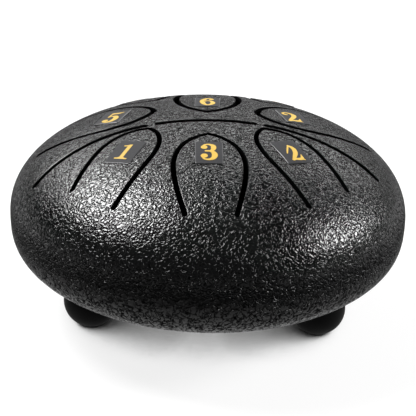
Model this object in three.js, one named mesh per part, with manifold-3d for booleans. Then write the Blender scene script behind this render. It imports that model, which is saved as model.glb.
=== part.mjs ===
// Steel tongue drum on three rubber ball feet.
// Millimetres, +Z up, origin on the floor below the middle of the body, the player's side towards -Y.
import * as THREE from "three";
import { mergeVertices } from "three/addons/utils/BufferGeometryUtils.js";
import Module from "manifold-3d";

// Body: two pressed steel bowls, joined by a weld along their widest line.
const BODY_DIAMETER = 152;
const UPPER_HEIGHT = 35.7; // widest line to crown
const LOWER_DEPTH = 26; // widest line to underside
const UPPER_EXPONENT = 2.18; // 2 is an ellipse, more is flatter at the pole and rounder at the flank
const LOWER_EXPONENT = 2.7;
const SHEET = 1.2;
const SEAM_WIDTH = 1.6;
const SEAM_ROOT = 0.5; // how far the weld stands out on the inside
const SOUND_HOLE_DIAMETER = 30;

// Slots: one cut width everywhere. The middle slot is a shallow bow in three pieces, from left to right.
const SLOT_WIDTH = 1.7;
const ROOT_GAP = 0.3; // between a tongue's root and the sheet it bends from
const BOW_RADIUS_SHARE = 1.336; // as a share of the body radius, and so are the two rows below
const BOW_CROWN_SHARES = [0.017, 0.007];
const BOW_PIECE_SHARES = [[-0.838, -0.32], [-0.261, 0.22], [0.277, 0.805]];

// Stick-on number film on every tongue.
const LABEL_WIDTH = 10;
const LABEL_LENGTH = 15;
const LABEL_FILM = 0.3;
const LABEL_GAP = 0.3;

// Push-in rubber feet.
const FOOT_BALL_DIAMETER = 20.8;
const FOOT_SEAT = 0.595; // ball centre to shell, as a share of the ball radius
const FOOT_CIRCLE = 0.64; // where the stems go through the shell, as a share of the body radius
const FOOT_TURN = -2.5; // degrees that the three feet stand round from the tongues
const FOOT_NECK_DIAMETER = 6;
const FOOT_BARB_HEIGHT = 4.5;
const FOOT_FLAT = 0.5; // depth of the flat the ball stands on
const FOOT_GAP = 0.3;

const AROUND = 60; // facets round the body
const ALONG = 11; // facets from the widest line to a pole

const RADIUS = BODY_DIAMETER / 2;
const DEGREE = Math.PI / 180;

// Tongues, in plan. Sizes and tip positions are shares of the body radius. The tip angles lie between the
// middle line and each side where they leave the tip. The heading is the way from tip to root, in degrees
// from the player's side, and the label turn is how far the number leans from upright.
// No two are quite alike, because each sounds its own note.
const TONGUE_ROWS = [
  { name: "front", tip: [-0.014, -0.167], tipAngles: [68, 68], heading: 0.8,
    length: 0.6, width: 0.335, root: 0.231, label: 0.315, turn: 0 },
  { name: "front_left", tip: [-0.296, -0.077], tipAngles: [68, 68], heading: -26,
    length: 0.56, width: 0.287, root: 0.277, label: 0.439, turn: -23 },
  { name: "front_right", tip: [0.259, -0.064], tipAngles: [68, 68], heading: 29,
    length: 0.57, width: 0.281, root: 0.268, label: 0.435, turn: 25 },
  { name: "left", tip: [-0.2845, 0.1785], tipAngles: [88, 68], heading: -88,
    length: 0.5385, width: 0.367, root: 0.319, label: 0.3859, turn: -18 },
  { name: "right", tip: [0.2426, 0.1582], tipAngles: [78, 78], heading: 98,
    length: 0.5272, width: 0.375, root: 0.32, label: 0.3521, turn: 16 },
  { name: "rear", tip: [-0.014, 0.14], tipAngles: [68, 68], heading: 178.6,
    length: 0.54, width: 0.329, root: 0.216, label: 0.333, turn: -2 },
  { name: "rear_left", tip: [-0.28, 0.43], tipAngles: [68, 68], heading: -150,
    length: 0.37, width: 0.29, root: 0.224, label: 0.62, turn: -12 },
  { name: "rear_right", tip: [0.278, 0.458], tipAngles: [68, 68], heading: 150,
    length: 0.35, width: 0.29, root: 0.224, label: 0.62, turn: 12 },
];

const paint = new THREE.MeshStandardMaterial({
  name: "crackle_paint", color: 0x1d1d1e, metalness: 0.2, roughness: 0.45,
});
const film = new THREE.MeshStandardMaterial({ name: "label_film", color: 0x2f2f33, roughness: 0.4 });
const rubber = new THREE.MeshStandardMaterial({ name: "foot_rubber", color: 0x141415, roughness: 0.8 });

const wasm = await Module();
wasm.setup();

// A closed geometry as a solid for cutting, and a solid as a geometry again.
function solid(geometry) {
  const bare = new THREE.BufferGeometry().setIndex(geometry.index);
  bare.setAttribute("position", geometry.getAttribute("position"));
  const merged = mergeVertices(bare, 1e-4);
  return new wasm.Manifold(
    new wasm.Mesh({
      numProp: 3,
      vertProperties: merged.getAttribute("position").array,
      triVerts: new Uint32Array(merged.index.array),
    }),
  );
}
function geometryOf(body) {
  const { vertProperties, triVerts } = body.getMesh();
  const geometry = new THREE.BufferGeometry().setIndex(Array.from(triVerts));
  geometry.setAttribute("position", new THREE.BufferAttribute(vertProperties, 3));
  geometry.computeVertexNormals();
  return geometry;
}
function piece(name, geometry, material) {
  const mesh = new THREE.Mesh(geometry, material);
  mesh.name = name;
  return mesh;
}
const lathe = (points, segments) => new THREE.LatheGeometry(points, segments).rotateX(Math.PI / 2);

// A point and the outward normal of a bowl's outer face at parameter t, from 0 at the widest line to 1 at the
// pole. The bowl opens downwards with its widest line at height 0.
function bowlAt(t, height, squareness) {
  const angle = (t * Math.PI) / 2;
  const point = new THREE.Vector2(
    RADIUS * Math.cos(angle) ** (2 / squareness),
    height * Math.sin(angle) ** (2 / squareness),
  );
  const normal = new THREE.Vector2(
    point.x ** (squareness - 1) / RADIUS ** squareness,
    point.y ** (squareness - 1) / height ** squareness,
  ).normalize();
  return { point, normal };
}
// The bowl's profile from the widest line to the pole, moved outwards by the given offset.
function bowlLine(height, squareness, offset) {
  return Array.from({ length: ALONG + 1 }, (_, i) => {
    const { point, normal } = bowlAt(i / ALONG, height, squareness);
    return i === ALONG ? new THREE.Vector2(0, height + offset) : point.addScaledVector(normal, offset);
  });
}
const raised = (points, lift) => points.map((p) => new THREE.Vector2(p.x, p.y + lift));
const upperBowl = (inner, outer) =>
  lathe(
    raised(
      [
        ...bowlLine(UPPER_HEIGHT - SEAM_WIDTH / 2, UPPER_EXPONENT, inner).reverse(),
        ...bowlLine(UPPER_HEIGHT - SEAM_WIDTH / 2, UPPER_EXPONENT, outer),
      ],
      SEAM_WIDTH / 2,
    ),
    AROUND,
  );

// A flat outline through the whole height of the upper bowl, as a cutter.
const through = (shape) =>
  solid(new THREE.ExtrudeGeometry(shape, { depth: 2 * UPPER_HEIGHT, bevelEnabled: false, curveSegments: 8 }));

// The outline of a cut of the given width along a run of points, with round ends.
function cutAlong(points, width) {
  const sides = [[], []];
  points.forEach((p, i) => {
    const before = p.clone().sub(points[Math.max(i - 1, 0)]).normalize();
    const after = points[Math.min(i + 1, points.length - 1)].clone().sub(p).normalize();
    const along = before.clone().add(after).normalize();
    const reach = width / 2 / Math.max(along.dot(before), along.dot(after));
    const across = new THREE.Vector2(-along.y, along.x).multiplyScalar(reach);
    sides[0].push(p.clone().add(across));
    sides[1].unshift(p.clone().sub(across));
  });
  const first = points[0];
  const last = points.at(-1);
  const startAngle = sides[1].at(-1).clone().sub(first).angle();
  const endAngle = sides[0].at(-1).clone().sub(last).angle();
  const shape = new THREE.Shape([...sides[0]]);
  shape.absarc(last.x, last.y, width / 2, endAngle, endAngle - Math.PI, true);
  for (const p of sides[1]) shape.lineTo(p.x, p.y);
  shape.absarc(first.x, first.y, width / 2, startAngle, startAngle - Math.PI, true);
  return shape;
}

// A tongue's run of slot, from one root corner round the tip to the other, as points in plan. Each side
// leaves the tip at its tip angle, swells to the full width halfway, and draws in to the root. The root line
// is square to the drum's radius.
function tongueRun(row) {
  const length = row.length * RADIUS;
  const half = (row.width * RADIUS) / 2;
  const out = new THREE.Vector2(0, -1).rotateAround(new THREE.Vector2(), row.heading * DEGREE);
  const across = new THREE.Vector2(-out.y, out.x);
  const tip = new THREE.Vector2(...row.tip).multiplyScalar(RADIUS);
  const rootMiddle = tip.clone().addScaledVector(out, length);
  const rootLine = new THREE.Vector2(-rootMiddle.y, rootMiddle.x).normalize();
  if (rootLine.dot(across) < 0) rootLine.negate();
  const at = (u, v) => tip.clone().addScaledVector(out, u).addScaledVector(across, v);
  const sideRun = (side, tipAngle) => {
    const swell = new THREE.CubicBezierCurve(
      at(0, 0),
      at((0.6 * half) / Math.tan(tipAngle * DEGREE), side * 0.6 * half),
      at(length * 0.25, side * half),
      at(length * 0.5, side * half),
    );
    const taper = new THREE.QuadraticBezierCurve(
      at(length * 0.5, side * half),
      at(length * 0.7, side * half),
      rootMiddle.clone().addScaledVector(rootLine, (side * row.root * RADIUS) / 2),
    );
    return [...swell.getPoints(8), ...taper.getPoints(5).slice(1)];
  };
  const [left, right] = row.tipAngles;
  return {
    points: [...sideRun(-1, left).reverse(), ...sideRun(1, right).slice(1)],
    labelCentre: at(length * row.label, 0),
  };
}

const drum = new THREE.Group();
drum.name = "tongue_drum";
const body = new THREE.Group();
drum.add(body);

// Upper shell: the bowl with every tongue's window and the three pieces of the middle slot cut through it.
const sheetBowl = solid(upperBowl(-SHEET, 0));
const filmLayer = solid(upperBowl(LABEL_GAP, LABEL_GAP + LABEL_FILM));
let upperShell = sheetBowl;
const bow = BOW_RADIUS_SHARE * RADIUS;
const crown = new THREE.Vector2(...BOW_CROWN_SHARES).multiplyScalar(RADIUS);
for (const ends of BOW_PIECE_SHARES) {
  const angles = ends.map((x) => Math.PI / 2 - Math.asin((x * RADIUS - crown.x) / bow));
  const arc = new THREE.EllipseCurve(crown.x, crown.y - bow, bow, bow, angles[0], angles[1], true);
  upperShell = upperShell.subtract(through(cutAlong(arc.getPoints(10), SLOT_WIDTH)));
}

// Tongues and their labels, cut from the same bowl so that they lie flush with it.
for (const row of TONGUE_ROWS) {
  const { points, labelCentre } = tongueRun(row);
  const leaf = through(new THREE.Shape(points));
  const slot = through(cutAlong(points, SLOT_WIDTH));
  const rootCut = through(cutAlong([points.at(-1), points[0]], 2 * ROOT_GAP));
  upperShell = upperShell.subtract(leaf).subtract(slot);
  const tongue = sheetBowl.intersect(leaf).subtract(slot).subtract(rootCut);
  body.add(piece(`tongue_${row.name}`, geometryOf(tongue), paint));

  const corners = [[-1, -1], [1, -1], [1, 1], [-1, 1]].map(([x, y]) =>
    new THREE.Vector2((x * LABEL_WIDTH) / 2, (y * LABEL_LENGTH) / 2)
      .rotateAround(new THREE.Vector2(), row.turn * DEGREE)
      .add(labelCentre),
  );
  const label = filmLayer.intersect(through(new THREE.Shape(corners)));
  body.add(piece(`label_${row.name}`, geometryOf(label), film));
}
body.add(piece("upper_shell", geometryOf(upperShell), paint));

// Seam weld: flush outside, a low rounded root inside.
const weldInside = RADIUS - SHEET;
const weldRoot = new THREE.EllipseCurve(weldInside, 0, SEAM_ROOT, SEAM_WIDTH / 2,
  Math.PI / 2, (3 * Math.PI) / 2);
body.add(
  piece(
    "seam_weld",
    lathe(
      [
        new THREE.Vector2(RADIUS, -SEAM_WIDTH / 2),
        new THREE.Vector2(RADIUS, SEAM_WIDTH / 2),
        ...weldRoot.getPoints(4),
        new THREE.Vector2(RADIUS, -SEAM_WIDTH / 2),
      ],
      AROUND,
    ),
    paint,
  ),
);

// Feet: where a stem goes through the lower bowl, how far the bowl leans there, and the height that puts the
// flat under the ball on the floor.
const lowerHeight = LOWER_DEPTH - SEAM_WIDTH / 2;
const footParameter = Math.acos(FOOT_CIRCLE ** (LOWER_EXPONENT / 2)) / (Math.PI / 2);
const seat = bowlAt(footParameter, lowerHeight, LOWER_EXPONENT);
const lean = Math.atan2(seat.normal.x, seat.normal.y);
const ballRadius = FOOT_BALL_DIAMETER / 2;
const ballDrop = FOOT_SEAT * ballRadius;
const seatHeight = ballDrop * Math.cos(lean) + ballRadius - FOOT_FLAT;
body.position.z = seatHeight + SEAM_WIDTH / 2 + seat.point.y;

// One foot, its seat at the origin and its stem up: ball, neck through the shell, barb behind it. The flat
// under the ball stays level when the foot leans with the shell.
const neck = FOOT_NECK_DIAMETER / 2;
const barb = 1.45 * neck;
const barbSeat = SHEET + 2 * FOOT_GAP;
const ball = new THREE.EllipseCurve(0, -ballDrop, ballRadius, ballRadius,
  -Math.PI / 2, Math.asin((ballDrop - FOOT_GAP) / ballRadius));
const footTurned = solid(
  lathe(
    [
      ...ball.getPoints(9),
      new THREE.Vector2(neck, -FOOT_GAP),
      new THREE.Vector2(neck, barbSeat),
      new THREE.Vector2(barb, barbSeat),
      new THREE.Vector2(barb, barbSeat + 0.25 * FOOT_BARB_HEIGHT),
      new THREE.Vector2(neck * 0.6, barbSeat + FOOT_BARB_HEIGHT),
      new THREE.Vector2(0, barbSeat + FOOT_BARB_HEIGHT),
    ],
    20,
  ),
);
const floorBlock = new THREE.BoxGeometry(4 * ballRadius, 4 * ballRadius, ballRadius);
floorBlock.translate(0, 0, -seatHeight - ballRadius / 2).rotateY(lean);
const footGeometry = geometryOf(footTurned.subtract(solid(floorBlock)));

// Lower shell: the other bowl, with the sound hole in the middle and a hole for each foot's neck.
let lowerShell = solid(
  lathe(
    [
      ...bowlLine(lowerHeight, LOWER_EXPONENT, 0).reverse(),
      ...bowlLine(lowerHeight, LOWER_EXPONENT, -SHEET),
    ].map((p) => new THREE.Vector2(p.x, -p.y - SEAM_WIDTH / 2)),
    AROUND,
  ),
);
const holeRadius = SOUND_HOLE_DIAMETER / 2;
const soundHole = new THREE.CylinderGeometry(holeRadius, holeRadius, LOWER_DEPTH, 40);
lowerShell = lowerShell.subtract(solid(soundHole.rotateX(Math.PI / 2).translate(0, 0, -LOWER_DEPTH)));

for (const [name, third] of [["front_left", -60], ["front_right", 60], ["rear", 180]]) {
  const heading = third + FOOT_TURN;
  const turned = new THREE.Group();
  turned.rotation.z = (heading - 90) * DEGREE;
  turned.position.z = seatHeight;
  const foot = piece(`foot_${name}`, footGeometry, rubber);
  foot.position.x = seat.point.x;
  foot.rotation.y = -lean;
  turned.add(foot);
  drum.add(turned);

  const hole = new THREE.CylinderGeometry(neck + FOOT_GAP, neck + FOOT_GAP, 8 * SHEET, 20);
  hole.rotateX(Math.PI / 2).rotateY(-lean).translate(seat.point.x, 0, -SEAM_WIDTH / 2 - seat.point.y);
  lowerShell = lowerShell.subtract(solid(hole.rotateZ(turned.rotation.z)));
}
body.add(piece("lower_shell", geometryOf(lowerShell), paint));

export default drum;
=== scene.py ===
"""Steel tongue drum in black crackle paint on three rubber feet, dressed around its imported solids."""
import math

import bmesh
import bpy
import numpy as np
from mathutils import Matrix, Vector
from mathutils.geometry import delaunay_2d_cdt
from mathutils.kdtree import KDTree


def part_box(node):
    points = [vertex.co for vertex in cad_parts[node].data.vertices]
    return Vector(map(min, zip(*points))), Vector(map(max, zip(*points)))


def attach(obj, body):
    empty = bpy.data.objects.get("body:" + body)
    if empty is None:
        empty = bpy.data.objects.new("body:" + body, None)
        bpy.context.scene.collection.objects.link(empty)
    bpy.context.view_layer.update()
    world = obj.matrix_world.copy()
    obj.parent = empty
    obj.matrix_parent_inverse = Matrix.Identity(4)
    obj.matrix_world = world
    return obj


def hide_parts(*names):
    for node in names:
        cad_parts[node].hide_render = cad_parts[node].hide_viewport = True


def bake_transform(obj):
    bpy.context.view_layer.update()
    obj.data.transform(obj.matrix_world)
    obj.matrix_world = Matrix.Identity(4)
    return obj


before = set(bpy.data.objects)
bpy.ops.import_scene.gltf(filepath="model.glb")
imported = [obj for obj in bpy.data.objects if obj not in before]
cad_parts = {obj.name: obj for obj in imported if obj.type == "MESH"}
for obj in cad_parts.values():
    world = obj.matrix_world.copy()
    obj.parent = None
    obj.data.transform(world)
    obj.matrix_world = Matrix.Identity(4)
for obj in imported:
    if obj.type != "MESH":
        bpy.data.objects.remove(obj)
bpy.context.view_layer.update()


# Crackle paint. A black enamel that shrinks as it dries and draws up into fine wrinkles, like leather. It
# covers both bowls, the weld and the tongues. Its gloss carries painted light and shade: the wrinkles get a
# glossy coat on their upper sides, as if lit from above, and a nearly unreflecting one below, and they are
# dulled in the creases as painted shade. Near the bottom their ridges are given gloss again, so that they
# mirror the floor.
class Wire:
    """A value in a material's node tree. Operators on it add Math nodes, and node() adds any other node."""

    def __init__(self, tree, socket=None):
        self.tree = tree
        self.socket = socket

    def node(self, kind, settings=None, sockets=None, output=0):
        made = self.tree.nodes.new("ShaderNode" + kind)
        for name, value in (settings or {}).items():
            setattr(made, name, value)
        for name, value in (sockets or {}).items():
            if isinstance(value, Wire):
                self.tree.links.new(value.socket, made.inputs[name])
            else:
                made.inputs[name].default_value = value
        return Wire(self.tree, made.outputs[output] if made.outputs else None)

    def math(self, operation, first, second):
        return self.node("Math", {"operation": operation}, {0: first, 1: second})

    def __add__(self, other):
        return self.math("ADD", self, other)

    __radd__ = __add__

    def __sub__(self, other):
        return self.math("SUBTRACT", self, other)

    def __rsub__(self, other):
        return self.math("SUBTRACT", other, self)

    def __mul__(self, other):
        return self.math("MULTIPLY", self, other)

    __rmul__ = __mul__


def new_finish(name):
    """An empty material and the wire that its nodes start from."""
    material = bpy.data.materials.new(name)
    material.use_nodes = True
    material.node_tree.nodes.clear()
    return material, Wire(material.node_tree)


def grain(start, place, scale):
    """Wrinkles in the paint: 0 in a crease, up to about 0.3 along the middle of a ridge."""
    waves = {"Vector": place, "Scale": scale, "Detail": 1.0, "Distortion": 0.5}
    return start.math("ABSOLUTE", start.node("TexNoise", sockets=waves) - 0.5, 0.0)


def smooth(wire, low, high):
    """A soft step from 0 at the low value to 1 at the high one."""
    return wire.node(
        "MapRange", {"interpolation_type": "SMOOTHSTEP"}, {"Value": wire, "From Min": low, "From Max": high}
    )


def shade(wire, dark, light):
    """A colour between two others, by a value from 0 to 1."""
    return wire.node("Mix", {"data_type": "RGBA"}, {0: wire, 6: (*dark, 1), 7: (*light, 1)}, output=2)


# Wrinkles and clouds per metre, and heights of the wrinkles in metres.
WRINKLES = 640.0
FINE_WRINKLES = 1500.0
CLOUDS = 45.0
RIDGE_RISE = 0.0004
CREASE_STEP = 0.00005
FINE_RISE = 0.00012
# Levels above the floor between which the paint changes, and how much deeper or flatter it wrinkles there.
CROWN_LEVELS, CROWN_DEEPER = (0.066, 0.073), 0.5
BELLY_LEVELS, BELLY_DEEPER = (0.03, 0.052), 1.3
UNDERSIDE_LEVELS, UNDERSIDE_FLATTER = (0.022, 0.042), 0.9
# Parts of a ridge that are clear of the painted shade in its crease, that stand up, and that get painted
# sheen to mirror the floor.
PAINTED_CREASE_SHADE_EDGE, RIDGE_FLANK, RIDGE_BACK = (0.0, 0.04), (0.0, 0.07), (0.01, 0.14)
# How far a face looks up where its painted sheen starts and where it is full, how much it is seen from the
# side where its gloss fades, and how far down a cut edge the wrinkles and then the gloss give out, a painted
# shade on the cut edges.
PAINTED_SHEEN_SLOPES = (0.05, 0.55)
GLANCING = (0.45, 0.9)
CUT_WRINKLES, CUT_GLOSS = (0.0, 0.12), (0.18, 0.26)
# Shares of gloss: the painted sheen on the ridges underneath, through which they mirror the floor, what a
# face seen from the side loses, and how much of that loss the underside is spared. The clouds vary the
# roughness.
FLOOR_GLINT = 0.8
GLANCE_LOSS, UNDERSIDE_SPARED = 0.8, 0.7
CLOUD_ROUGHNESS = 0.05
ENAMEL = (0.003, 0.003, 0.0031, 1)

crackle_paint, start = new_finish("crackle_paint")
place = start.node("TexCoord", output="Object")
ridge, fine = grain(start, place, WRINKLES), grain(start, place, FINE_WRINKLES)
# Painted shade in the creases: 0 deep in a crease, where the paint is dulled, and 1 clear of it.
clear_of_painted_crease_shade = smooth(ridge, *PAINTED_CREASE_SHADE_EDGE)
deep = ridge * RIDGE_RISE + smooth(ridge, *RIDGE_FLANK) * CREASE_STEP
level = start.node("SeparateXYZ", sockets={0: place}, output="Z")
crown = smooth(level, *CROWN_LEVELS)
belly = 1.0 - smooth(level, *BELLY_LEVELS)
underside = 1.0 - smooth(level, *UNDERSIDE_LEVELS)
cut = start.node("Attribute", {"attribute_name": "cut"}, output="Fac")
depth = 1.0 + crown * CROWN_DEEPER + belly * BELLY_DEEPER - underside * UNDERSIDE_FLATTER
relief = start.node(
    "Bump",
    sockets={
        "Strength": 1.0 - smooth(cut, *CUT_WRINKLES),
        "Distance": 1.0,
        "Height": deep * depth + fine * FINE_RISE,
    },
)
upward = start.node("SeparateXYZ", sockets={0: relief}, output="Z")
# Painted sheen: the glossy coat on faces that look up, as if lit from above, and on ridges of the underside
# so that they mirror the floor. Faces that look down get the thin coat as painted shade.
painted_sheen_share = smooth(upward, *PAINTED_SHEEN_SLOPES) + underside * FLOOR_GLINT * smooth(ridge, *RIDGE_BACK)
cloud = start.node("TexNoise", sockets={"Vector": place, "Scale": CLOUDS, "Detail": 2.0})
glance = smooth(start.node("LayerWeight", sockets={"Normal": relief}, output="Facing"), *GLANCING)


def coat(shine, roughness):
    """One coat of the black enamel."""
    return start.node(
        "BsdfPrincipled",
        sockets={
            "Base Color": ENAMEL,
            "Roughness": roughness + cloud * CLOUD_ROUGHNESS,
            "Specular IOR Level": shine,
            "Normal": relief,
        },
    )


# The thin coat, nearly without reflection, is painted shade on faces that look down. The dull one is painted
# shade in the creases, on cut edges and where a face is seen from the side.
thin = coat(shine=0.012, roughness=0.3)
glossy = coat(shine=0.8, roughness=0.18)
dull_painted_shade = coat(shine=0.0, roughness=0.6)
ridges = start.node("MixShader", sockets={0: painted_sheen_share, 1: thin, 2: glossy})
# Where the gloss gives way to the dull coat as painted shade: creases, faces seen from the side and cut
# edges.
faded = glance * (GLANCE_LOSS - underside * UNDERSIDE_SPARED)
gloss = clear_of_painted_crease_shade * (1.0 - faded) * (1.0 - smooth(cut, *CUT_GLOSS))
paint = start.node("MixShader", sockets={0: gloss, 1: dull_painted_shade, 2: ridges})
start.node("OutputMaterial", sockets={"Surface": paint})

# Lower shell. A bowl pressed from 1.2 mm steel sheet, with a round sound hole punched in the middle of its
# underside and a small hole for the stem of each foot.
MM = 0.001
BODY_RADIUS = 76.0
WAIST = sum(corner.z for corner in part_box("seam_weld")) / 2 / MM
SHEET = 1.2
SEAM_HALF = 0.8
LOWER_DEPTH = 26.0
LOWER_EXPONENT = 2.7
LOWER_FLOOR_RADIUS = 62.0
AROUND = 240
CUT_ROUNDING = 0.3
CUT_TURNS = [math.radians(30), math.radians(60), math.radians(90)]
CUT_ROWS = len(CUT_TURNS) + 3
CUT_START, CUT_GROWTH = 0.1, 0.3
SOUND_HOLE_RADIUS = 15.0
FOOT_HEADINGS = {"front_left": -62.5, "front_right": 57.5, "rear": 177.5}
FOOT_CIRCLE = 48.64
FOOT_HOLE_RADIUS = 3.3
OUTER, INNER, FLAT = range(3)


class Bowl:
    """Outer face of a pressed bowl. The side is 1 where it bulges up and -1 where it bulges down."""

    def __init__(self, side, height, exponent):
        self.side = side
        self.height = height - SEAM_HALF
        self.exponent = exponent

    def at(self, x, y):
        """Point of the face over or under a place in plan, and the way out of the sheet there."""
        radius = math.hypot(x, y)
        reach = min(radius / BODY_RADIUS, 1.0)
        rise = max(1 - reach**self.exponent, 0.0) ** (1 / self.exponent)
        outward = reach ** (self.exponent - 1) / BODY_RADIUS / max(radius, 1e-9)
        upward = self.side * rise ** (self.exponent - 1) / self.height
        point = Vector((x, y, WAIST + self.side * (SEAM_HALF + self.height * rise)))
        return point, Vector((x * outward, y * outward, upward)).normalized()

    def rows_to_rim(self, start_radius, count):
        """Radii of rows from a circle in plan down to the rim, evenly spread along the flank."""
        angle = math.acos((start_radius / BODY_RADIUS) ** (self.exponent / 2))
        turns = [angle * (1 - k / count) for k in range(1, count + 1)]
        return [BODY_RADIUS * math.cos(turn) ** (2 / self.exponent) for turn in turns]


def circle(x, y, radius, count):
    turns = [2 * math.pi * k / count for k in range(count)]
    return [(Vector((x + radius * math.cos(a), y + radius * math.sin(a))), None) for a in turns]


def hole(x, y, radius, count):
    """Outline of a round hole, drawn where the rounding of its edge begins."""
    centre = Vector((x, y))
    ring = circle(x, y, radius + CUT_ROUNDING, count)
    return [(p, (centre - p).normalized() * CUT_ROUNDING) for p, _ in ring]


def inside(points, outline):
    """Which of the points lie inside a closed outline, counted by crossings."""
    a = np.array([tuple(p) for p, _ in outline])
    b = np.roll(a, -1, axis=0)
    x, y = points[:, 0, None], points[:, 1, None]
    between = (a[:, 1] > y) != (b[:, 1] > y)
    rise = np.where(a[:, 1] == b[:, 1], 1e-12, b[:, 1] - a[:, 1])
    return (np.sum(between & (x < a[:, 0] + (y - a[:, 1]) * (b[:, 0] - a[:, 0]) / rise), axis=1) % 2) == 1


def within(points, outlines):
    """Which of the points lie inside the first outline and outside the others."""
    keep = inside(points, outlines[0])
    for outline in outlines[1:]:
        keep &= ~inside(points, outline)
    return keep


def fill_points(outlines, spacing):
    """Places on a triangle grid inside the first outline and outside the others, clear of all of them."""
    drawn = [p for outline in outlines for p, _ in outline]
    near = KDTree(len(drawn))
    for k, p in enumerate(drawn):
        near.insert((p.x, p.y, 0), k)
    near.balance()
    low = np.min([tuple(p) for p, _ in outlines[0]], axis=0)
    high = np.max([tuple(p) for p, _ in outlines[0]], axis=0)
    row_height = spacing * math.sqrt(3) / 2
    grid = np.array(
        [
            (low[0] + (i + 0.5 * (j % 2)) * spacing, low[1] + j * row_height)
            for j in range(int((high[1] - low[1]) / row_height) + 1)
            for i in range(int((high[0] - low[0]) / spacing) + 1)
        ]
    )
    grid = grid[within(grid, outlines)]
    clearance = 0.55 * spacing
    return [Vector(p) for p in grid if near.find((p[0], p[1], 0))[2] > clearance]


def triangulate(runs, more, merge):
    """Triangles over closed runs of places in plan and more places between them. Gives the places, the
    triangles, the middle of each one, and the given places that each place came from."""
    flat, edges = [], []
    for run in runs:
        first = len(flat)
        flat += run
        edges += [(first + k, first + (k + 1) % len(run)) for k in range(len(run))]
    places, _, triangles, origins, _, _ = delaunay_2d_cdt(flat + more, edges, [], 0, merge)
    middles = np.array([tuple(sum((places[v] for v in t), Vector((0, 0))) / 3) for t in triangles])
    return places, triangles, middles, origins


def face_outwards(mesh):
    work = bmesh.new()
    work.from_mesh(mesh)
    bmesh.ops.recalc_face_normals(work, faces=work.faces)
    work.to_mesh(mesh)
    work.free()


def show(name, mesh, material):
    mesh.materials.append(material)
    shown = bpy.data.objects.new(name, mesh)
    bpy.context.scene.collection.objects.link(shown)
    return shown


def cut_sheet(name, material, bowl, outlines, rim_rows=(), lift=0.0, thick=SHEET, spacing=2.4):
    """A closed piece of sheet on a bowl, inside the first outline and outside the others. An outline is a
    run of places in plan, each with the way across its cut edge, as long as the edge's rounding, or None
    where the sheet meets its neighbour uncut. With rim rows the first outline is a circle, and the sheet
    goes on from it to those radii. The value "cut" is 0 on the outer face, grows down a cut edge, and is 1
    on the inner face."""
    runs = [[p for p, _ in outline] for outline in outlines]
    drawn = sum(len(run) for run in runs)
    places, triangles, middles, origins = triangulate(runs, fill_points(outlines, spacing), merge=1e-6)
    keep = within(middles, outlines)

    spots, out_ways, in_ways, depths, faces, kinds = [], [], [], [], [], []

    def add(spot, out_way, in_way, depth):
        spots.append(spot * MM)
        out_ways.append(out_way)
        in_ways.append(in_way)
        depths.append(depth)
        return len(spots) - 1

    def add_pair(x, y):
        point, way = bowl.at(x, y)
        face = point + way * lift
        return add(face, way, -way, 0.0), add(face - way * thick, way, -way, 1.0)

    def add_face(corners, kind):
        faces.append(corners)
        kinds.append(kind)

    pairs = [add_pair(*p) for p in places]
    for triangle, kept in zip(triangles, keep):
        if kept:
            add_face([pairs[v][0] for v in triangle], OUTER)
            add_face([pairs[v][1] for v in reversed(triangle)], INNER)
    at_place = {given: k for k, origin in enumerate(origins) for given in origin if given < drawn}

    def section(given, place, across):
        """Points down a cut edge: the outer face, the rounding, the foot of the cut, the inner face."""
        outer, inner = pairs[at_place[given]]
        if across is None:
            return [outer, inner]
        point, way = bowl.at(*place)
        point = point + way * lift
        rounding = across.length
        side = Vector((across.x, across.y, 0))
        side = (side - way * side.dot(way)).normalized()
        rows = [outer]
        for turn in CUT_TURNS:
            spot = point + side * rounding * math.sin(turn) - way * rounding * (1 - math.cos(turn))
            out_way = way * math.cos(turn) + side * math.sin(turn)
            rows.append(add(spot, out_way, -way, CUT_START + turn * CUT_GROWTH))
        return rows + [add(point + side * rounding - way * thick, side, -way, 1.0), inner]

    first = 0
    for index, outline in enumerate(outlines):
        if index or not rim_rows:
            rows = [section(first + k, p, across) for k, (p, across) in enumerate(outline)]
            for k, here in enumerate(rows):
                there = rows[(k + 1) % len(rows)]
                if len(here) == len(there) == CUT_ROWS:
                    for step in range(CUT_ROWS - 1):
                        corners = [here[step], there[step], there[step + 1], here[step + 1]]
                        add_face(corners, INNER if step == CUT_ROWS - 2 else OUTER)
                else:
                    add_face([here[0], there[0], there[-1], here[-1]], FLAT)
                if len(here) == CUT_ROWS > min(len(there), len(rows[k - 1])):
                    add_face(list(here), FLAT)
        first += len(outline)
    ring = [pairs[at_place[k]] for k in range(len(outlines[0]))] if rim_rows else []
    for radius in rim_rows:
        headings = [math.atan2(p.y, p.x) for p, _ in outlines[0]]
        further = [add_pair(radius * math.cos(a), radius * math.sin(a)) for a in headings]
        for k in range(len(ring)):
            here, there, below, beside = ring[k], ring[k - 1], further[k], further[k - 1]
            add_face([here[0], there[0], beside[0], below[0]], OUTER)
            add_face([below[1], beside[1], there[1], here[1]], INNER)
        ring = further
    for k in range(len(ring)):
        add_face([ring[k][0], ring[k - 1][0], ring[k - 1][1], ring[k][1]], FLAT)

    mesh = bpy.data.meshes.new(name)
    used = sorted({v for face in faces for v in face})
    number = {v: k for k, v in enumerate(used)}
    mesh.from_pydata([spots[v] for v in used], [], [[number[v] for v in face] for face in faces])
    face_outwards(mesh)
    mesh.polygons.foreach_set("use_smooth", [True] * len(mesh.polygons))
    mesh.attributes.new("cut", "FLOAT", "POINT").data.foreach_set("value", [depths[v] for v in used])
    corner_ways = [None] * len(mesh.loops)
    for polygon, kind in zip(mesh.polygons, kinds):
        for corner in polygon.loop_indices:
            spot = used[mesh.loops[corner].vertex_index]
            corner_ways[corner] = (out_ways[spot], in_ways[spot], polygon.normal)[kind].copy()
    mesh.normals_split_custom_set(corner_ways)
    return show(name, mesh, material)


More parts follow.
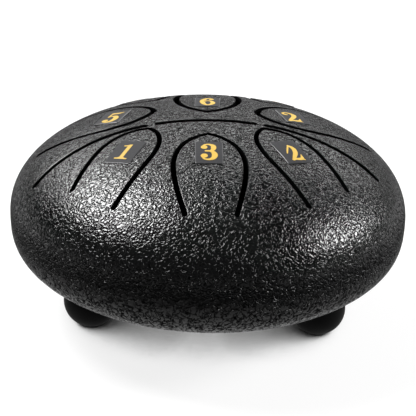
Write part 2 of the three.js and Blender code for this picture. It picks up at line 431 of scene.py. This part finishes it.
def plan(heading, radius):
    """Place in plan at a heading in degrees from the player's side, turning to the player's right."""
    return Vector((math.sin(math.radians(heading)), -math.cos(math.radians(heading)))) * radius


lower_bowl = Bowl(-1, LOWER_DEPTH, LOWER_EXPONENT)
outlines = [circle(0, 0, LOWER_FLOOR_RADIUS, AROUND), hole(0, 0, SOUND_HOLE_RADIUS, count=90)]
for heading in FOOT_HEADINGS.values():
    outlines.append(hole(*plan(heading, FOOT_CIRCLE), FOOT_HOLE_RADIUS, count=32))
rim_rows = lower_bowl.rows_to_rim(LOWER_FLOOR_RADIUS, count=11)
lower_shell = cut_sheet("lower_shell_painted", crackle_paint, lower_bowl, outlines, rim_rows, spacing=3.2)
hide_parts("lower_shell")
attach(lower_shell, "drum")

# Seam weld. The bead that joins the two bowls at the widest line, ground flush on the outside and painted
# over, with a low round root left on the inside.
SEAM_ROOT = 0.5
SEAM_STEPS = 8
SHARP_TURN = math.radians(50)


def turned(name, material, profile, count, closed=False):
    """A profile of (radius, height) points turned about the upright axis. A closed profile comes back to
    its start."""
    spots, rings, faces = [], [], []
    for radius, level in profile:
        steps = count if radius > 1e-6 else 1
        rings.append(range(len(spots), len(spots) + steps))
        turns = [2 * math.pi * k / steps for k in range(steps)]
        spots += [Vector((radius * math.cos(a), radius * math.sin(a), level)) * MM for a in turns]
    joins = list(zip(rings, rings[1:] + rings[:1])) if closed else list(zip(rings, rings[1:]))
    for lower, upper in joins:
        for k in range(count):
            corners = [lower[k % len(lower)], lower[(k + 1) % len(lower)]]
            corners += [upper[(k + 1) % len(upper)], upper[k % len(upper)]]
            faces.append(list(dict.fromkeys(corners)))
    mesh = bpy.data.meshes.new(name)
    mesh.from_pydata(spots, [], faces)
    face_outwards(mesh)
    mesh.polygons.foreach_set("use_smooth", [True] * len(mesh.polygons))
    mesh.set_sharp_from_angle(angle=SHARP_TURN)
    return show(name, mesh, material)


inside_radius = BODY_RADIUS - SHEET
root = [
    (inside_radius - SEAM_ROOT * math.sin(a), WAIST + SEAM_HALF * math.cos(a))
    for a in (math.pi * k / SEAM_STEPS for k in range(SEAM_STEPS + 1))
]
seam_weld = turned(
    "seam_weld_painted",
    crackle_paint,
    [(BODY_RADIUS, WAIST - SEAM_HALF), (BODY_RADIUS, WAIST + SEAM_HALF)] + root,
    AROUND,
    closed=True,
)
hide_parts("seam_weld")
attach(seam_weld, "drum")

# Upper shell and tongues. The second pressed bowl, with slots of one width cut through it: a shallow bow in
# three pieces across the middle, and one run round every tongue, which stays one sheet with the bowl at its
# root. Struck near its tip, a real tongue bends from the root and rings. Here each tongue is only cut out as
# a piece of its own, and the ends of its bend line are worked out but not used.
UPPER_HEIGHT = 35.7
UPPER_EXPONENT = 2.18
SLOT_HALF = 0.85
FRONT_ROUNDING = 0.25
BACK_ROUNDING = 0.65
BOW_RADIUS = 1.336 * BODY_RADIUS
BOW_CROWN = (0.017 * BODY_RADIUS, 0.007 * BODY_RADIUS)
BOW_PIECES = [(-0.838, -0.32), (-0.261, 0.22), (0.277, 0.805)]
BOW_STEPS = 36
SLOT_END_STEPS = 10
ROOT_STEPS = 12
CROWN_RADIUS = 70.0
ROOT_BEND = 5.0
# Tip, length, width and root are shares of the body's radius. Angles are in degrees.
TIP_ANGLES = (68, 68)
SHOULDER = 0.6
SWELL = (0.25, 0.5, 0.7)
TONGUES = {
    "front": dict(tip=(-0.014, -0.167), heading=0.8, length=0.6, width=0.335, root=0.231),
    "front_left": dict(tip=(-0.296, -0.077), heading=-26, length=0.56, width=0.287, root=0.277),
    "front_right": dict(tip=(0.259, -0.064), heading=29, length=0.57, width=0.281, root=0.268),
    "left": dict(
        tip=(-0.2845, 0.1785), heading=-88, length=0.5385, width=0.367, root=0.319, tip_angles=(88, 68)
    ),
    "right": dict(
        tip=(0.2426, 0.1582), heading=98, length=0.5272, width=0.375, root=0.32, tip_angles=(78, 78)
    ),
    "rear": dict(tip=(-0.014, 0.14), heading=178.6, length=0.54, width=0.329, root=0.216),
    "rear_left": dict(tip=(-0.28, 0.43), heading=-150, length=0.37, width=0.29, root=0.224),
    "rear_right": dict(tip=(0.278, 0.458), heading=150, length=0.35, width=0.29, root=0.224),
}


def bezier(controls, count):
    """Places along a Bezier curve with any number of control places."""
    run = []
    for k in range(count + 1):
        t = k / count
        row = list(controls)
        while len(row) > 1:
            row = [a.lerp(b, t) for a, b in zip(row, row[1:])]
        run.append(row[0])
    return run


def tongue_run(tongue):
    """Middle line of a tongue's slot, from one root corner round the tip to the other. Each side leaves the
    tip at the tip angle, swells to full width halfway, and draws in to the root."""
    length, half = tongue["length"] * BODY_RADIUS, tongue["width"] * BODY_RADIUS / 2
    out = plan(tongue["heading"], 1)
    across = Vector((-out.y, out.x))
    tip = Vector(tongue["tip"]) * BODY_RADIUS
    root_middle = tip + out * length
    root_line = Vector((-root_middle.y, root_middle.x)).normalized()
    root_line *= 1 if root_line.dot(across) > 0 else -1
    sides = []
    for side, angle in zip((-1, 1), tongue.get("tip_angles", TIP_ANGLES)):
        slope = math.tan(math.radians(angle))
        shoulder = tip + out * SHOULDER * half / slope + across * side * SHOULDER * half
        widest = [tip + out * length * share + across * side * half for share in SWELL]
        corner = root_middle + root_line * side * tongue["root"] * BODY_RADIUS / 2
        front = bezier([tip, shoulder, *widest[:2]], count=24)
        sides.append(front + bezier([*widest[1:], corner], count=16)[1:])
    return sides[0][::-1] + sides[1][1:]


def slot_edges(run, rounding):
    """The two edges of a slot along a run, left and right of its way, and the round ends between them, all
    drawn where the rounding of the cut begins."""
    reach = SLOT_HALF + rounding
    left, right = [], []
    for k, p in enumerate(run):
        before = (p - run[k - 1]).normalized() if k else (run[1] - p).normalized()
        after = (run[k + 1] - p).normalized() if k + 1 < len(run) else before
        along = (before + after).normalized()
        across = Vector((-along.y, along.x))
        step = across * reach / along.dot(before)
        left.append((p + step, -across * rounding))
        right.append((p - step, across * rounding))
    ends = []
    for p, (_, back), way in ((run[-1], left[-1], 1), (run[0], left[0], -1)):
        across = -back.normalized()
        along = Vector((across.y, -across.x))
        turns = [math.pi * k / SLOT_END_STEPS for k in range(1, SLOT_END_STEPS)]
        ways = [(across * math.cos(a) + along * math.sin(a)) * way for a in turns]
        ends.append([(p + w * reach, -w * rounding) for w in ways])
    return left, right, ends[0], ends[1]


def along_tongue(name, share):
    """Place in plan at a share of a tongue's length from its tip."""
    tongue = TONGUES[name]
    length = tongue["length"] * BODY_RADIUS
    return Vector(tongue["tip"]) * BODY_RADIUS + plan(tongue["heading"], length * share)


upper_bowl = Bowl(1, UPPER_HEIGHT, UPPER_EXPONENT)
cuts, tongue_outlines = [], {}
for low, high in BOW_PIECES:
    turns = [math.asin((x * BODY_RADIUS - BOW_CROWN[0]) / BOW_RADIUS) for x in (low, high)]
    bow = [turns[0] + (turns[1] - turns[0]) * k / BOW_STEPS for k in range(BOW_STEPS + 1)]
    run = [Vector(BOW_CROWN) + Vector((math.sin(a), math.cos(a) - 1)) * BOW_RADIUS for a in bow]
    left, right, far_end, near_end = slot_edges(run, BACK_ROUNDING)
    cuts.append(left + far_end + right[::-1] + near_end)
for name, tongue in TONGUES.items():
    rounding = FRONT_ROUNDING if name.startswith("front") else BACK_ROUNDING
    left, right, far_end, near_end = slot_edges(tongue_run(tongue), rounding)
    root = [(right[-1][0].lerp(right[0][0], k / ROOT_STEPS), None) for k in range(1, ROOT_STEPS)]
    cuts.append(left + far_end + [right[-1]] + root + [right[0]] + near_end)
    tongue_outlines[name] = right + root
outlines = [circle(0, 0, CROWN_RADIUS, AROUND)] + cuts
rim_rows = upper_bowl.rows_to_rim(CROWN_RADIUS, count=8)
upper_shell = cut_sheet("upper_shell_painted", crackle_paint, upper_bowl, outlines, rim_rows)
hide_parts("upper_shell")
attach(upper_shell, "drum")
for name, outline in tongue_outlines.items():
    leaf = cut_sheet("tongue_%s_painted" % name, crackle_paint, upper_bowl, [outline])
    root_middle = along_tongue(name, share=1.0)
    bend_start = upper_bowl.at(*root_middle)[0]
    bend_end = upper_bowl.at(*(root_middle - plan(TONGUES[name]["heading"], ROOT_BEND)))[0]
    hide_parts("tongue_" + name)
    name + "_tongue"
    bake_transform(leaf)

# Labels. A die-cut film with a sticky back on every tongue, near its tip, smooth and dark grey. It is pressed
# down over the grain, which still shows through a little.
FILM = 0.24
FILM_BED = 0.01
FILM_WIDTH = 10.0
FILM_LENGTH = 15.0
FILM_CORNER = 0.5
FILM_ROUNDING = 0.2
FILM_STEPS = (11, 16)
FILM_GREYS = (0.022, 0.022, 0.024), (0.032, 0.032, 0.035)
# Heights of the grain that shows through and of the film's own unevenness, in metres, and how far down its
# cut edge the film turns shiny.
GRAIN_THROUGH, FILM_UNEVENNESS = 0.00006, 0.00002
SHINY_EDGE = (0.02, 0.2)
# How far along its tongue each label sits, as a share of the tongue, and its lean in degrees.
LABELS = {
    "front": (0.315, 0),
    "front_left": (0.439, -23),
    "front_right": (0.435, 25),
    "left": (0.3859, -18),
    "right": (0.3521, 16),
    "rear": (0.333, -2),
    "rear_left": (0.62, -12),
    "rear_right": (0.62, 12),
}

label_film, start = new_finish("label_film")
place = start.node("TexCoord", output="Object")
ridge = grain(start, place, WRINKLES)
edge = start.node("Attribute", {"attribute_name": "cut"}, output="Fac")
haze = start.node("TexNoise", sockets={"Vector": place, "Scale": 260.0, "Detail": 3.0})
height = ridge * GRAIN_THROUGH + haze * FILM_UNEVENNESS
relief = start.node("Bump", sockets={"Strength": 1.0, "Distance": 1.0, "Height": height})
plastic = start.node(
    "BsdfPrincipled",
    sockets={
        "Base Color": shade(haze, *FILM_GREYS),
        "Roughness": 0.5 + haze * 0.16,
        "Specular IOR Level": 0.2,
        "Coat Weight": smooth(edge, *SHINY_EDGE),
        "Coat Roughness": 0.12,
        "Coat IOR": 1.8,
        "Normal": relief,
    },
)
start.node("OutputMaterial", sockets={"Surface": plastic})


def label_place(name):
    """Centre of a label in plan, and its ways across and up, as the player reads it."""
    share, lean = LABELS[name]
    across = Vector((math.cos(math.radians(lean)), math.sin(math.radians(lean))))
    return along_tongue(name, share), across, Vector((-across.y, across.x))


for name in LABELS:
    centre, across, up = label_place(name)
    reach = Vector((FILM_WIDTH / 2 - FILM_ROUNDING, FILM_LENGTH / 2 - FILM_ROUNDING))
    knees = [
        Vector([(r - FILM_CORNER) * m for r, m in zip(reach, mirror)])
        for mirror in ((1, 1), (-1, 1), (-1, -1), (1, -1))
    ]
    outline = []
    for quarter, knee in enumerate(knees):
        turns = [math.pi / 2 * (quarter + k / 4) for k in range(5)]
        ways = [Vector((math.cos(a), math.sin(a))) for a in turns]
        corner = [(knee + w * FILM_CORNER, w) for w in ways]
        end = knees[(quarter + 1) % 4] + ways[-1] * FILM_CORNER
        count = FILM_STEPS[quarter % 2]
        side = [(corner[-1][0].lerp(end, k / count), ways[-1]) for k in range(1, count)]
        outline += corner + side
    turned_outline = [
        (centre + across * p.x + up * p.y, (across * w.x + up * w.y) * FILM_ROUNDING) for p, w in outline
    ]
    film = cut_sheet(
        "label_%s_film" % name,
        label_film,
        upper_bowl,
        [turned_outline],
        lift=FILM_BED + FILM,
        thick=FILM,
        spacing=1.2,
    )
    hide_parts("label_" + name)
    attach(film, name + "_tongue")

# Numbers. The note of each tongue, printed on its label in a thick gold ink: plain old-style figures with
# fat bowls, thin joins and ball ends.
INK = 0.04
INK_BED = 0.006
INK_GRID = 0.09
INK_COLUMNS, INK_ROWS = 8, 12
STROKE_STEPS = 8
CAP_STEPS = 6
INK_YELLOWS = (0.57, 0.345, 0.034), (0.66, 0.44, 0.053)
# Figure, height, stretch of its width, and how far across and up from the middle of its label it is printed.
NUMBERS = {
    "front": ("3", 11.4, 0.92, 0.1, 0.0),
    "rear": ("6", 12.3, 0.88, 0.0, 0.0),
    "front_left": ("1", 9.8, 0.98, 0.0, -0.2),
    "front_right": ("flagged 2", 10.5, 0.98, 0.26, -1.2),
    "left": ("5", 11.5, 0.95, 0.4, -1.2),
    "right": ("2", 11.2, 1.0, -0.95, -1.0),
    "rear_left": ("1", 9.8, 0.98, 0.0, 1.5),
    "rear_right": ("3", 11.4, 0.92, 0.0, 1.2),
}
FIGURE_MIDDLE = 0.29
# Every figure is pen strokes of (x, y, width), and balls of (x, y, radius), as shares of its height.
FIGURES = {
    "1": dict(
        strokes=[
            [(0.30, 0.11, 0.155), (0.30, 0.5, 0.15), (0.30, 0.9, 0.15)],
            [(0.36, 0.955, 0.05), (0.28, 0.905, 0.08), (0.2, 0.875, 0.075), (0.1, 0.855, 0.065)],
            [(0.08, 0.035, 0.07), (0.3, 0.035, 0.07), (0.52, 0.035, 0.07)],
            [(0.18, 0.05, 0.08), (0.3, 0.09, 0.12), (0.42, 0.05, 0.08)],
        ],
        balls=[],
    ),
    "2": dict(
        strokes=[
            [(0.2, 0.69, 0.07), (0.1, 0.73, 0.11), (0.09, 0.86, 0.085), (0.22, 0.95, 0.08),
             (0.37, 0.87, 0.14), (0.44, 0.7, 0.18), (0.35, 0.46, 0.16), (0.2, 0.26, 0.13),
             (0.08, 0.08, 0.11)],
            [(0.07, 0.08, 0.11), (0.2, 0.13, 0.13), (0.34, 0.1, 0.13), (0.46, 0.14, 0.12),
             (0.53, 0.33, 0.03)],
            [(0.4, 0.1, 0.12), (0.47, 0.09, 0.1), (0.55, 0.04, 0.02)],
        ],
        balls=[(0.14, 0.72, 0.065)],
    ),
    "flagged 2": dict(
        strokes=[
            [(0.06, 0.5, 0.045), (0.19, 0.73, 0.065), (0.345, 0.98, 0.055)],
            [(0.33, 0.95, 0.09), (0.42, 0.84, 0.14), (0.43, 0.66, 0.17), (0.36, 0.46, 0.165),
             (0.22, 0.26, 0.14), (0.1, 0.1, 0.1)],
            [(0.09, 0.1, 0.1), (0.2, 0.13, 0.11), (0.34, 0.11, 0.13), (0.46, 0.15, 0.12),
             (0.53, 0.37, 0.02)],
            [(0.4, 0.11, 0.12), (0.47, 0.1, 0.1), (0.54, 0.05, 0.02)],
        ],
        balls=[],
    ),
    "3": dict(
        strokes=[
            [(0.06, 0.83, 0.06), (0.14, 0.93, 0.07), (0.28, 0.955, 0.085), (0.41, 0.88, 0.15),
             (0.44, 0.76, 0.185), (0.41, 0.62, 0.14), (0.32, 0.547, 0.085)],
            [(0.32, 0.547, 0.085), (0.43, 0.46, 0.16), (0.475, 0.3, 0.2), (0.42, 0.13, 0.16),
             (0.28, 0.055, 0.095), (0.13, 0.08, 0.07), (0.05, 0.19, 0.06)],
            [(0.17, 0.547, 0.085), (0.34, 0.547, 0.085)],
        ],
        balls=[(0.116, 0.784, 0.113), (0.116, 0.262, 0.12)],
    ),
    "5": dict(
        strokes=[
            [(0.12, 0.56, 0.06), (0.14, 0.75, 0.075), (0.17, 0.94, 0.08)],
            [(0.16, 0.91, 0.11), (0.28, 0.89, 0.14), (0.4, 0.91, 0.11), (0.52, 0.99, 0.035)],
            [(0.12, 0.55, 0.06), (0.24, 0.61, 0.08), (0.39, 0.55, 0.16), (0.45, 0.35, 0.2),
             (0.38, 0.14, 0.16), (0.24, 0.05, 0.09), (0.1, 0.1, 0.07)],
        ],
        balls=[(0.12, 0.2, 0.11)],
    ),
    "6": dict(
        strokes=[
            [(0.47, 0.87, 0.06), (0.36, 0.955, 0.08), (0.23, 0.87, 0.13), (0.125, 0.62, 0.19),
             (0.12, 0.34, 0.19), (0.21, 0.1, 0.13), (0.32, 0.045, 0.09), (0.45, 0.15, 0.14),
             (0.495, 0.32, 0.17), (0.43, 0.52, 0.12), (0.31, 0.59, 0.075), (0.19, 0.51, 0.08)],
        ],
        balls=[(0.43, 0.8, 0.095)],
    ),
}

gold_ink, start = new_finish("gold_ink")
place = start.node("TexCoord", output="Object")
mottle = start.node("TexNoise", sockets={"Vector": place, "Scale": 900.0, "Detail": 3.0})
relief = start.node("Bump", sockets={"Strength": 0.6, "Distance": 0.00004, "Height": mottle})
yellow = {"Base Color": shade(mottle, *INK_YELLOWS), "Roughness": 0.36 + mottle * 0.2, "Normal": relief}
ink = start.node("BsdfPrincipled", sockets=yellow)
start.node("OutputMaterial", sockets={"Surface": ink})


def pen_stroke(keys):
    """Outline of a pen stroke whose width changes from key to key, with round ends."""
    ends = [np.array(k, float) for k in keys]
    ends = [2 * ends[0] - ends[1]] + ends + [2 * ends[-1] - ends[-2]]
    run = []
    for a, b, c, d in zip(ends, ends[1:], ends[2:], ends[3:]):
        for t in np.linspace(0, 1, STROKE_STEPS + 1)[:-1]:
            straight = 2 * b + (c - a) * t
            run.append(0.5 * (straight + (2 * a - 5 * b + 4 * c - d) * t**2 + (3 * b - a - 3 * c + d) * t**3))
    run.append(ends[-2])
    middle = [Vector(p[:2]) for p in run]
    left, right = [], []
    for k, (p, (_, _, width)) in enumerate(zip(middle, run)):
        along = (middle[min(k + 1, len(run) - 1)] - middle[max(k - 1, 0)]).normalized()
        across = Vector((-along.y, along.x)) * width / 2
        left.append(p + across)
        right.append(p - across)
    turns = [Matrix.Rotation(-math.pi * k / CAP_STEPS, 2) for k in range(1, CAP_STEPS)]
    far_cap = [middle[-1] + turn @ (left[-1] - middle[-1]) for turn in turns]
    near_cap = [middle[0] + turn @ (right[0] - middle[0]) for turn in turns]
    return left + far_cap + right[::-1] + near_cap


def print_figure(name, figure, height, stretch, centre, across, up):
    """The figure as a thin layer of ink on its label, its strokes and balls melted into one outline."""
    outlines = [pen_stroke(keys) for keys in FIGURES[figure]["strokes"]]
    for x, y, radius in FIGURES[figure]["balls"]:
        outlines.append([p for p, _ in circle(x, y, radius, count=28)])
    grid = [Vector((INK_GRID * i, INK_GRID * j)) for i in range(INK_COLUMNS) for j in range(INK_ROWS)]
    places, triangles, middles, _ = triangulate(outlines, grid, merge=1e-5)
    keep = np.zeros(len(triangles), bool)
    for outline in outlines:
        keep |= inside(middles, [(p, None) for p in outline])
    kept = [t for t, k in zip(triangles, keep) if k]
    used = sorted({v for t in kept for v in t})
    number = {v: k for k, v in enumerate(used)}
    spots = []
    bed = FILM_BED + FILM + INK_BED
    for lift in (bed + INK, bed):
        for v in used:
            x, y = (places[v].x - FIGURE_MIDDLE) * height * stretch, (places[v].y - 0.5) * height
            point, way = upper_bowl.at(*(centre + across * x + up * y))
            spots.append((point + way * lift) * MM)
    below = len(used)
    faces = [[number[v] for v in t] for t in kept]
    faces += [[number[v] + below for v in reversed(t)] for t in kept]
    ways = dict.fromkeys((a, b) for t in kept for a, b in zip(t, [*t[1:], t[0]]))
    for a, b in ways:
        if (b, a) not in ways:
            faces.append([number[b], number[a], number[a] + below, number[b] + below])
    mesh = bpy.data.meshes.new(name)
    mesh.from_pydata(spots, [], faces)
    mesh.update()
    return show(name, mesh, gold_ink)


for name, (figure, height, stretch, shift_across, shift_up) in NUMBERS.items():
    centre, across, up = label_place(name)
    centre = centre + across * shift_across + up * shift_up
    number = print_figure("number_%s_ink" % name, figure, height, stretch, centre, across, up)
    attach(number, name + "_tongue")

# Feet. Three moulded rubber balls, each pushed through its hole in the lower shell by a stem with a barb,
# so that the ball sits close against the paint. The ball is pressed a little flat on the floor.
BALL_RADIUS = 10.4
BALL_DROP = 6.188
NECK_RADIUS = 3.0
BARB_RADIUS = 4.35
BARB_SEAT = 1.8
BARB_HEIGHT = 4.5
BARB_BEVEL = 0.2
BALL_TOP = 0.7
BALL_ROWS = 40
BALL_AROUND = 64
PAINT_CONTACT = 0.03
RUBBER_BLACKS = (0.002, 0.002, 0.002), (0.004, 0.004, 0.004)

foot_rubber, start = new_finish("foot_rubber")
place = start.node("TexCoord", output="Object")
bloom = start.node("TexNoise", sockets={"Vector": place, "Scale": 160.0, "Detail": 4.0})
pores = start.node("TexNoise", sockets={"Vector": place, "Scale": 2600.0, "Detail": 2.0})
relief = start.node("Bump", sockets={"Strength": 0.5, "Distance": 0.00003, "Height": pores})
rubber = start.node(
    "BsdfPrincipled",
    sockets={
        "Base Color": shade(bloom, *RUBBER_BLACKS),
        "Roughness": 0.5 + bloom * 0.2,
        "Specular IOR Level": 0.05,
        "Normal": relief,
    },
)
start.node("OutputMaterial", sockets={"Surface": rubber})

top_turn = math.asin((BALL_DROP + BALL_TOP) / BALL_RADIUS)
ball = [
    (BALL_RADIUS * math.cos(a), BALL_RADIUS * math.sin(a) - BALL_DROP)
    for a in (-math.pi / 2 + (top_turn + math.pi / 2) * k / BALL_ROWS for k in range(1, BALL_ROWS + 1))
]
stem = [
    (NECK_RADIUS, BALL_TOP),
    (NECK_RADIUS, BARB_SEAT),
    (BARB_RADIUS - BARB_BEVEL, BARB_SEAT),
    (BARB_RADIUS, BARB_SEAT + BARB_BEVEL),
    (BARB_RADIUS, BARB_SEAT + 0.25 * BARB_HEIGHT),
    (0.6 * NECK_RADIUS, BARB_SEAT + 0.92 * BARB_HEIGHT),
    (0.3 * NECK_RADIUS, BARB_SEAT + BARB_HEIGHT),
    (0, BARB_SEAT + BARB_HEIGHT),
]
for name, heading in FOOT_HEADINGS.items():
    profile = [(0, -BALL_DROP - BALL_RADIUS)] + ball + stem
    foot = turned("foot_%s_rubber" % name, foot_rubber, profile, BALL_AROUND)
    seat, outward = lower_bowl.at(*plan(heading, FOOT_CIRCLE))
    lean = outward.angle(Vector((0, 0, -1)))
    sideways = plan(heading, 1).to_3d().cross(Vector((0, 0, 1)))
    foot.data.transform(Matrix.Translation(seat * MM) @ Matrix.Rotation(lean, 4, sideways))
    ball_spots = 1 + (len(ball) + 1) * BALL_AROUND
    for vertex in list(foot.data.vertices)[:ball_spots]:
        face = lower_bowl.at(vertex.co.x / MM, vertex.co.y / MM)[0].z - PAINT_CONTACT
        vertex.co.z = min(vertex.co.z, face * MM)
    work = bmesh.new()
    work.from_mesh(foot.data)
    everything = work.verts[:] + work.edges[:] + work.faces[:]
    bmesh.ops.bisect_plane(work, geom=everything, plane_co=(0, 0, 0), plane_no=(0, 0, -1), clear_outer=True)
    bmesh.ops.holes_fill(work, edges=[e for e in work.edges if e.is_boundary])
    bmesh.ops.recalc_face_normals(work, faces=work.faces)
    work.to_mesh(foot.data)
    work.free()
    foot.data.set_sharp_from_angle(angle=SHARP_TURN)
    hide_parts("foot_" + name)
    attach(foot, "drum")

# Studio. A wide pale floor that shows white to the camera, with the drum's real shadow in its dim diffuse
# part and a painted shadow in its glow, a long strip of light behind, and two soft boxes: a large one behind
# on the left and a smaller one on the right.
FLOOR_RADIUS = 8.0
FLOOR_CORNERS = 96
FLOOR_GLOW = 0.85
# The floor's glow is darkened as a painted shadow: by ambient occlusion within this reach and over this edge,
# less so for mirrored rays, and by a gradient towards the middle under the sound hole.
SHADOW_REACH = 0.03
SHADOW_EDGE = (0.19, 0.37)
MIRRORED_SHADOW = 0.4
HOLE_SHADE = (0.008, 0.038)
STRIP_FOOT, STRIP_HEAD, STRIP_SIDES = (0.2, 0.35), (0.46, 0.62), (0.5, 0.8)
STRIP_GLOW = 3.3
ROOM_GLOW = 0.04

studio_floor, start = new_finish("studio_floor")
seen, mirrored, through = (
    start.node("LightPath", output=ray) for ray in ("Is Camera Ray", "Is Glossy Ray", "Is Transmission Ray")
)
pale = start.node("BsdfDiffuse", sockets={"Color": (0.25, 0.25, 0.25, 1)})
place = start.node("TexCoord", output="Object")
away = start.node("VectorMath", {"operation": "LENGTH"}, {0: place}, output="Value")
open_sky = start.node("AmbientOcclusion", {"samples": 24}, {"Distance": SHADOW_REACH}, output="AO")
# Painted shadow in the glow: near 0 where it is darkest, close to the drum and under the sound hole, and 1
# away from it.
clear = smooth(open_sky, *SHADOW_EDGE) * smooth(away, *HOLE_SHADE)
beyond = (mirrored + through) * (clear * (1 - MIRRORED_SHADOW) + MIRRORED_SHADOW)
glow = start.node("Emission", sockets={"Color": (seen * clear + beyond) * FLOOR_GLOW})
start.node("OutputMaterial", sockets={"Surface": start.node("AddShader", sockets={0: pale, 1: glow})})
mesh = bpy.data.meshes.new("studio_floor")
rim = [(*(p * FLOOR_RADIUS), 0) for p, _ in circle(0, 0, 1, FLOOR_CORNERS)]
mesh.from_pydata(rim, [], [list(range(FLOOR_CORNERS))])
floor = show("studio_floor", mesh, studio_floor)


def soft_box(name, azimuth, elevation, distance, width, tall, radiance):
    """An oblong lamp facing the drum. The azimuth is a heading from the player's side, in degrees."""
    lamp = bpy.data.lights.new(name, "AREA")
    lamp.shape = "RECTANGLE"
    lamp.size, lamp.size_y = width, tall
    lamp.energy = radiance * width * tall * math.pi
    target = Vector((0, 0, WAIST * MM))
    flat = plan(azimuth, math.cos(math.radians(elevation)))
    way = Vector((flat.x, flat.y, math.sin(math.radians(elevation))))
    box = bpy.data.objects.new(name, lamp)
    box.location = target + way * distance
    box.rotation_euler = way.to_track_quat("Z", "Y").to_euler()
    bpy.context.scene.collection.objects.link(box)


soft_box("box_left", azimuth=-118, elevation=56, distance=1.5, width=0.75, tall=0.5, radiance=26.0)
soft_box("box_right", azimuth=90, elevation=31, distance=1.5, width=0.55, tall=0.36, radiance=28.0)

world = bpy.data.worlds.new("studio")
world.use_nodes = True
world.node_tree.nodes.clear()
start = Wire(world.node_tree)
way = start.node("TexCoord", output="Generated")
depth, rise = (start.node("SeparateXYZ", sockets={0: way}, output=axis) for axis in ("Y", "Z"))
strip = smooth(rise, *STRIP_FOOT) * (1.0 - smooth(rise, *STRIP_HEAD)) * smooth(depth, *STRIP_SIDES)
light = start.node("Background", sockets={"Color": (1, 1, 1, 1), "Strength": ROOM_GLOW + strip * STRIP_GLOW})
start.node("OutputWorld", sockets={"Surface": light})
bpy.context.scene.world = world
bpy.context.scene.view_settings.view_transform = "Standard"

# Camera. A long lens on the player's side, well above the drum, turned a touch to the left and rolled so that
# the right side hangs slightly lower.
LENS = 101.33
CAMERA_DISTANCE = 456.0
CAMERA_ELEVATION = math.radians(25)
CAMERA_YAW = math.radians(1.5)
CAMERA_ROLL = math.radians(1.52)
AIM_RIGHT, AIM_DOWN = -0.00002, 0.00122

flat = -Vector((math.sin(CAMERA_YAW), math.cos(CAMERA_YAW))) * math.cos(CAMERA_ELEVATION)
back = Vector((flat.x, flat.y, math.sin(CAMERA_ELEVATION)))
right = Vector((0, 0, 1)).cross(back).normalized()
up = back.cross(right)
right, up = (
    right * math.cos(CAMERA_ROLL) + up * math.sin(CAMERA_ROLL),
    up * math.cos(CAMERA_ROLL) - right * math.sin(CAMERA_ROLL),
)
back_aim = (back - right * AIM_RIGHT + up * AIM_DOWN).normalized()
right = (right - back_aim * right.dot(back_aim)).normalized()
up = back_aim.cross(right)
lens = bpy.data.cameras.new("camera")
lens.lens = LENS
lens.sensor_width = 36
lens.clip_start = 0.01
camera = bpy.data.objects.new("camera", lens)
turn = Matrix((right, up, back_aim)).transposed().to_4x4()
camera.matrix_world = Matrix.Translation((Vector((0, 0, WAIST)) + back * CAMERA_DISTANCE) * MM) @ turn
bpy.context.scene.collection.objects.link(camera)
bpy.context.scene.camera = camera
